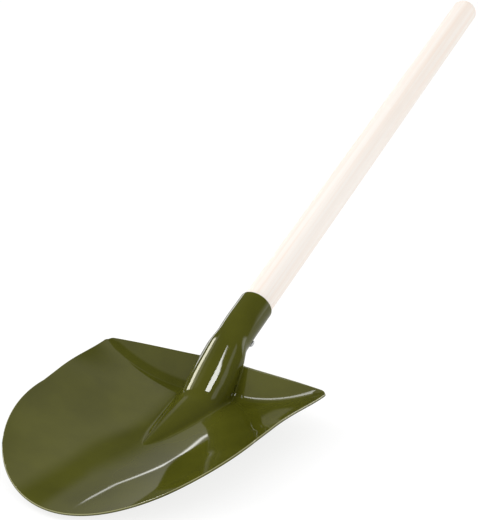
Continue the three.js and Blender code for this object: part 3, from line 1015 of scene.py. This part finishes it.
        radius, foot = self.join_arc()
        start = 1 - self.ridge.foot_fillet / radius / foot
        past = np.linspace(start, 1, self.fillet_columns // 2 + 1)[1:]
        across = np.concatenate([np.linspace(0, start, self.ridge_columns + 1), past])
        across = np.concatenate([-across[:0:-1], across])
        length = self.socket.rim_top[0] - self.plan.join_y
        back = steps(1, 0, self.socket_rows, lead_in=self.edge_lead / length)[:-1, None]
        tube = self.socket_point(back, across)
        join = blade[0, middle - edge : middle + edge + 1]
        offset = join - self.socket_point(np.zeros((1, 1)), across)
        tube += offset * (1 - ease(back * length / self.join_blend))[..., None]

        rows = np.full((len(back), blade.shape[1], 3), np.nan)
        rows[:, middle - edge : middle + edge + 1] = tube
        return np.concatenate([rows, blade])

    def build(self, place: Vector) -> list[bpy.types.Object]:
        """Builds and dresses the sheet.

        Args:
            place: Where the maker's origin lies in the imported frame.

        Returns:
            The piece, in a list.
        """
        upper = Shell.from_grid(self.grid())
        closed = upper.thickened(self.thickness, self.edge_bulge, self.edge_faces)
        piece = closed.to_object("pressed_blade_and_socket", place)
        piece.data.materials.append(self.enamel.material())
        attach(piece, "root")
        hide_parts("blade_with_socket")
        return [piece]


# ---------------------------------------------------------------- handle


@dataclass
class TurnedHandle:
    """Straight wooden rod with a rounded end and a tenon inside the socket."""

    diameter: float = 28
    exposed: float = 533
    end_rounding: float = 2.5
    shoulder_gap: float = 0.3
    shoulder_rounding: float = 0.5
    tenon_clearance: float = 0.3
    tenon_margin: float = 2
    tenon_extra_taper: float = 2.5
    tenon_tip_diameter: float = 16
    sides: int = 96
    shaft_rows: int = 24
    face_rings: int = 6
    end_faces: int = 8
    shoulder_faces: int = 3
    birch: SandedBirch = field(default_factory=SandedBirch)

    def tenon(self, sheet: BladeWithSocket) -> np.ndarray:
        """Works out the tenon's profile below the shoulder.

        It is straight as far as the socket's roof is, less a margin. Its tip then tapers a
        little more than the crank turns down.

        Args:
            sheet: The blade and socket that it sits in.

        Returns:
            Pairs of radius and distance along the axis, from the shoulder to the tip.
        """
        lift, (rim_y, rim_z) = sheet.socket.lift_angle, sheet.socket.rim_top
        crank = sheet.ridge
        socket_top = rim_z - math.tan(lift) * rim_y
        crank_top = crank.crank_top_at_kink - crank.crank_slope * crank.kink_y
        rise = crank.crank_bend + socket_top - crank_top
        bend_y = rise / (crank.crank_slope - math.tan(lift))
        straight = self.tenon_margin - (rim_y - bend_y) / math.cos(lift)
        radius = sheet.socket.radius - sheet.thickness - self.tenon_clearance
        tip = self.tenon_tip_diameter / 2
        turn = math.atan(crank.crank_slope) - lift + math.radians(self.tenon_extra_taper)
        last = straight - (radius - tip) / math.tan(turn)
        return np.array([[radius, self.shoulder_gap], [radius, straight], [tip, last], [0, last]])

    def profile(self, sheet: BladeWithSocket) -> np.ndarray:
        """Radius and distance along the axis, from the handle's end to the tenon's tip."""
        radius, rounding, turn = self.diameter / 2, self.end_rounding, self.shoulder_rounding
        inner, high, low = radius - rounding, self.exposed - rounding, self.shoulder_gap + turn
        rings = np.linspace(0, inner, self.face_rings)
        face = np.stack([rings, np.full_like(rings, self.exposed)], axis=-1)
        end = quarter_round((inner, high), rounding, 90, 0, self.end_faces)
        rows = np.linspace(high, low, self.shaft_rows + 1)[1:]
        shaft = np.stack([np.full_like(rows, radius), rows], axis=-1)
        shoulder = quarter_round((radius - turn, low), turn, 0, -90, self.shoulder_faces)
        return np.concatenate([face, end[1:], shaft, shoulder[1:], self.tenon(sheet)])

    def build(self, place: Vector, sheet: BladeWithSocket) -> list[bpy.types.Object]:
        """Builds and dresses the handle.

        Args:
            place: Where the maker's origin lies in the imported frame.
            sheet: The blade and socket that hold the handle.

        Returns:
            The piece, in a list.
        """
        socket = sheet.socket
        shell = turned(self.profile(sheet), self.sides, socket.rim_centre, socket.axis)
        piece = shell.to_object("turned_handle", place)
        foot = place + Vector(socket.rim_centre) * MM
        piece.data.materials.append(self.birch.material(Vector(socket.axis), foot))
        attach(piece, "root")
        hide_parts("handle")
        return [piece]


# ---------------------------------------------------------------- screw


@dataclass
class SocketScrew:
    """Round-headed wood screw through the side of the socket, pointing at the axis."""

    from_rim: float = 36.5
    below_side: float = 40
    diameter: float = 3.5
    length: float = 15
    head_diameter: float = 6.8
    head_height: float = 2.3
    seat_gap: float = 0.25
    slot_width: float = 0.9
    slot_depth: float = 1.0
    sides: int = 48
    head_faces: int = 12
    zinc: DulledZinc = field(default_factory=DulledZinc)

    def profile(self, seat: float) -> np.ndarray:
        """Radius and distance from the socket's axis, from the head's top to the point."""
        radius, point = self.diameter / 2, seat - self.length
        turns = np.radians(np.linspace(90, 0, self.head_faces + 1))
        across = self.head_diameter / 2 * np.cos(turns)
        across[0] = 0
        head = np.stack([across, seat + self.head_height * np.sin(turns)], axis=-1)
        shank = [[radius, seat], [radius, point + self.diameter], [0, point]]
        return np.concatenate([head, np.array(shank)])

    def cut_slot(
        self,
        piece: bpy.types.Object,
        place: Vector,
        top: np.ndarray,
        out: np.ndarray,
        along: np.ndarray,
    ) -> None:
        """Cuts the slot across the head with a flat bar, then removes the bar.

        Args:
            piece: The screw.
            place: Where the maker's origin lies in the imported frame.
            top: Middle of the head's top.
            out: Unit direction from the socket's axis to the head.
            along: Unit direction of the slot.
        """
        across = np.cross(out, along)
        signs = np.array([[i, j, k] for i in (-1, 1) for j in (-1, 1) for k in (-1, 1)])
        reach = np.array([self.head_diameter, self.slot_width / 2, self.slot_depth])
        corners = top + (signs * reach) @ np.stack([along, across, out])
        faces = [[0, 1, 3, 2], [4, 6, 7, 5], [0, 4, 5, 1], [2, 3, 7, 6], [0, 2, 6, 4], [1, 5, 7, 3]]
        bar = Shell(corners, np.array(faces), np.zeros((0, 3), int)).to_object("slot_bar", place)
        cut = piece.modifiers.new("slot", "BOOLEAN")
        cut.object = bar
        cut.operation = "DIFFERENCE"
        cut.solver = "EXACT"
        whole = piece.data
        evaluated = piece.evaluated_get(bpy.context.evaluated_depsgraph_get())
        piece.data = bpy.data.meshes.new_from_object(evaluated)
        piece.data.name = piece.name
        piece.modifiers.clear()
        bpy.data.meshes.remove(whole)
        bpy.data.objects.remove(bar)

    def build(self, place: Vector, socket: RolledSocket) -> list[bpy.types.Object]:
        """Builds and dresses the screw.

        Args:
            place: Where the maker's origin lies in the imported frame.
            socket: The socket that the screw goes through.

        Returns:
            The piece, in a list.
        """
        below = math.radians(self.below_side)
        out = np.array([math.cos(below), 0, 0]) - socket.axis_up * math.sin(below)
        foot = socket.rim_centre - socket.axis * self.from_rim
        seat = socket.radius + self.seat_gap
        shell = turned(self.profile(seat), self.sides, foot, out)
        piece = shell.to_object("socket_screw_slotted", place)
        self.cut_slot(piece, place, foot + out * (seat + self.head_height), out, socket.axis)
        piece.data.materials.append(self.zinc.material())
        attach(piece, "root")
        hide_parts("socket_screw")
        return [piece]


# ---------------------------------------------------------------- studio


def direction_of(azimuth: float, elevation: float) -> Vector:
    """Direction by degrees round from +Y towards +X, and degrees above the floor."""
    turn, rise = math.radians(azimuth), math.radians(elevation)
    return Vector((math.sin(turn) * math.cos(rise), math.cos(turn) * math.cos(rise), math.sin(rise)))


@dataclass(frozen=True)
class SoftBox:
    """A large soft box, in metres, aimed at the blade. It lights surfaces and gloss misses it."""

    name: str
    azimuth: float
    elevation: float
    distance: float
    size: tuple[float, float]
    watts: float
    colour: str = "#FFFFFF"
    aim: tuple[float, float, float] = (0, -0.1, 0.05)

    def build(self) -> None:
        """Makes the light."""
        lamp = bpy.data.lights.new(self.name, "AREA")
        lamp.shape = "RECTANGLE"
        lamp.size, lamp.size_y = self.size
        lamp.energy = self.watts
        lamp.color = linear(self.colour)[:3]
        made = bpy.data.objects.new(self.name, lamp)
        direction = direction_of(self.azimuth, self.elevation)
        made.location = Vector(self.aim) + direction * self.distance
        made.rotation_euler = (-direction).to_track_quat("-Z", "Y").to_euler()
        made.visible_glossy = False
        bpy.context.scene.collection.objects.link(made)


@dataclass(frozen=True)
class GlossPanel:
    """A far flat panel that gloss reflects, with feathered edges.

    Sizes are in degrees as seen from the shovel. Its glow is its brightness beside white
    paper, which is 1.
    """

    azimuth: float
    elevation: float
    width: float
    height: float
    glow: float
    feather: float = 1.5
    roll: float = 0
    colour: str = "#FFFFFF"

    def add(self, tree: bpy.types.NodeTree, direction: bpy.types.NodeSocket) -> bpy.types.NodeSocket:
        """Adds the panel's nodes to the sky.

        A direction meets the panel's plane at side = d.u / d.c and rise = d.v / d.c, for
        the panel's centre c, level u and upright v. The glow falls smoothly from full to
        nothing across the feather at each edge.

        Args:
            tree: The sky's tree.
            direction: Socket of the direction looked in.

        Returns:
            Socket of the panel's colour in that direction.
        """
        centre = direction_of(self.azimuth, self.elevation)
        level = centre.cross(Vector((0, 0, 1))).normalized()
        upright = level.cross(centre)
        turn = Matrix.Rotation(math.radians(self.roll), 3, centre)
        measured = []
        for axis in (centre, turn @ level, turn @ upright):
            dot = add_node(
                tree, "ShaderNodeVectorMath", {"operation": "DOT_PRODUCT"}, {0: direction}
            )
            dot.inputs[1].default_value = axis
            measured.append(dot.outputs["Value"])
        ahead, side, rise = measured

        near = add_node(tree, "ShaderNodeMath", {"operation": "GREATER_THAN"}, {0: ahead})
        near.inputs[1].default_value = NEAR_AHEAD
        shown = near.outputs[0]
        feather = math.tan(math.radians(self.feather))
        for across, size in ((side, self.width), (rise, self.height)):
            share = add_node(tree, "ShaderNodeMath", {"operation": "DIVIDE"}, {0: across, 1: ahead})
            away = add_node(tree, "ShaderNodeMath", {"operation": "ABSOLUTE"}, {0: share.outputs[0]})
            half = math.tan(math.radians(size / 2))
            fade = add_node(
                tree,
                "ShaderNodeMapRange",
                {"interpolation_type": "SMOOTHSTEP"},
                {"Value": away.outputs[0]},
                From_Min=half - feather / 2,
                From_Max=half + feather / 2,
                To_Min=1.0,
                To_Max=0.0,
            )
            links = {0: shown, 1: fade.outputs["Result"]}
            shown = add_node(tree, "ShaderNodeMath", {"operation": "MULTIPLY"}, links).outputs[0]
        lit = add_node(tree, "ShaderNodeVectorMath", {"operation": "SCALE"}, {"Scale": shown})
        lit.inputs[0].default_value = Vector(linear(self.colour)[:3]) * self.glow
        return lit.outputs["Vector"]


@dataclass
class Studio:
    """White paper floor, soft light, panels that gloss reflects, and the camera."""

    camera_mm: tuple[float, float, float] = (478.4, -969.1, 447.8)
    aim_mm: tuple[float, float, float] = (-17.5, -100.7, 100.0)
    roll_degrees: float = 0.81
    lens_mm: float = 83.077
    sensor_mm: float = 36
    clip: tuple[float, float] = (0.05, 50)  # metres
    floor_size: float = 12  # metres
    sky_light: float = 0.9
    sky_in_gloss: float = 0.09
    paper: LitPaper = field(default_factory=LitPaper)
    lights: tuple[SoftBox, ...] = (SoftBox("left_soft_box", -112, 45, 2.0, (1.2, 1.0), 11),)
    panels: tuple[GlossPanel, ...] = (
        GlossPanel(-83, 24, 12.5, 14.5, 9.5, roll=-33, colour="#FFFBE6"),  # left: strip on the crank
        GlossPanel(-90, 37, 10, 9, 1.4, feather=5, colour="#FFFBE6"),  # and its soft upper side
        GlossPanel(159.3, 68.8, 17, 13, 17, feather=1, roll=-23),  # overhead: second strip
        GlossPanel(98, 50, 12, 16, 0.9, feather=6),  # weak fill on the right
        GlossPanel(-106, 40.8, 15, 2, 7, feather=1),  # shallow, on the left: line in the rear crease
        GlossPanel(-40.4, 15.3, 0.38, 13, 3.6, feather=0.3, roll=-7),  # tall thin edge behind, left
        GlossPanel(-42, 16, 14, 30, 0.34, feather=6, colour="#FFF9F0"),  # and the dim panel round it
        GlossPanel(-58, 0, 20, 16, 3, feather=5),  # low, behind on the left: the left foot line
        GlossPanel(38, 12, 28, 26, 1.8, feather=14),  # low, behind on the right: socket's right side
        GlossPanel(30, 28, 8, 12, 9, feather=2),  # behind on the right: edges, the right foot line
        GlossPanel(-4, 42, 36, 13, 0.5, feather=8, colour="#FFF9D8"),  # broad and dim, behind
        GlossPanel(-145, 44, 64, 30, 0.62, feather=15, colour="#FFF9D8"),  # broad and dim, front left
    )

    def add_camera(self) -> None:
        """Makes the camera, aimed and then rolled about its line of sight."""
        eye, aim = Vector(self.camera_mm) * MM, Vector(self.aim_mm) * MM
        forward = (aim - eye).normalized()
        level = forward.cross(Vector((0, 0, 1))).normalized()
        above = level.cross(forward)
        roll = math.radians(self.roll_degrees)
        right = level * math.cos(roll) + above * math.sin(roll)
        up = above * math.cos(roll) - level * math.sin(roll)
        lens = bpy.data.cameras.new("camera")
        lens.sensor_width = self.sensor_mm
        lens.lens = self.lens_mm
        lens.clip_start, lens.clip_end = self.clip
        made = bpy.data.objects.new("camera", lens)
        made.matrix_world = Matrix((right, up, -forward)).transposed().to_4x4()
        made.location = eye
        bpy.context.scene.collection.objects.link(made)
        bpy.context.scene.camera = made

    def add_floor(self) -> None:
        """Makes the paper floor."""
        half = self.floor_size / 2
        corners = [(-half, -half, 0), (half, -half, 0), (half, half, 0), (-half, half, 0)]
        mesh = bpy.data.meshes.new("floor")
        mesh.from_pydata(corners, [], [(0, 1, 2, 3)])
        floor = bpy.data.objects.new("floor", mesh)
        floor.data.materials.append(self.paper.material())
        bpy.context.scene.collection.objects.link(floor)

    def add_sky(self) -> None:
        """Makes the sky: even white light for surfaces, and the panels for gloss."""
        world = bpy.data.worlds.new("sky")
        world.use_nodes = True
        world.cycles.sampling_method = "NONE"
        tree = world.node_tree
        tree.nodes.clear()
        direction = add_node(tree, "ShaderNodeTexCoord").outputs["Generated"]
        even_gloss = dict.fromkeys("XYZ", self.sky_in_gloss)
        total = add_node(tree, "ShaderNodeCombineXYZ", **even_gloss).outputs[0]
        for panel in self.panels:
            links = {0: total, 1: panel.add(tree, direction)}
            total = add_node(tree, "ShaderNodeVectorMath", {"operation": "ADD"}, links).outputs[0]
        gloss = add_node(tree, "ShaderNodeBackground", links={"Color": total}).outputs[0]
        even = add_node(
            tree, "ShaderNodeBackground", Color=linear("#FFFFFF"), Strength=self.sky_light
        ).outputs[0]
        glossy = add_node(tree, "ShaderNodeLightPath").outputs["Is Glossy Ray"]
        both = add_node(tree, "ShaderNodeMixShader", links={0: glossy, 1: even, 2: gloss})
        add_node(tree, "ShaderNodeOutputWorld", links={"Surface": both.outputs[0]})
        bpy.context.scene.world = world

    def build(self) -> None:
        """Sets up the floor, sky, lights, camera and plain colour handling."""
        self.add_camera()
        self.add_floor()
        self.add_sky()
        for light in self.lights:
            light.build()
        view = bpy.context.scene.view_settings
        view.view_transform = "Standard"
        view.look = "None"


# ---------------------------------------------------------------- the whole


def origin_in_frame(record: dict, handle: TurnedHandle, socket: RolledSocket) -> Vector:
    """Finds the maker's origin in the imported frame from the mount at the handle's end.

    Args:
        record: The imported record.
        handle: The handle.
        socket: The socket.

    Returns:
        The mount's place less the handle end's centre in the maker's frame, in metres.
    """
    mount = next(m for m in record["mounts"] if m["name"] == "handle_end")
    end = Vector(socket.rim_centre + socket.axis * handle.exposed) * MM
    return Vector(mount["pos_m"]) - end


def main() -> None:
    """Builds the shovel and the studio, and reports each piece."""
    logging.basicConfig(level=logging.INFO, format="%(name)s: %(message)s")
    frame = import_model()
    blade, handle, screw = BladeWithSocket(), TurnedHandle(), SocketScrew()
    place = origin_in_frame(frame["record"], handle, blade.socket)
    made = blade.build(place) + handle.build(place, blade) + screw.build(place, blade.socket)
    for piece in made:
        mesh = piece.data
        log.info("%s: %d points, %d faces", piece.name, len(mesh.vertices), len(mesh.polygons))
    Studio().build()


if __name__ == "__main__":
    main()
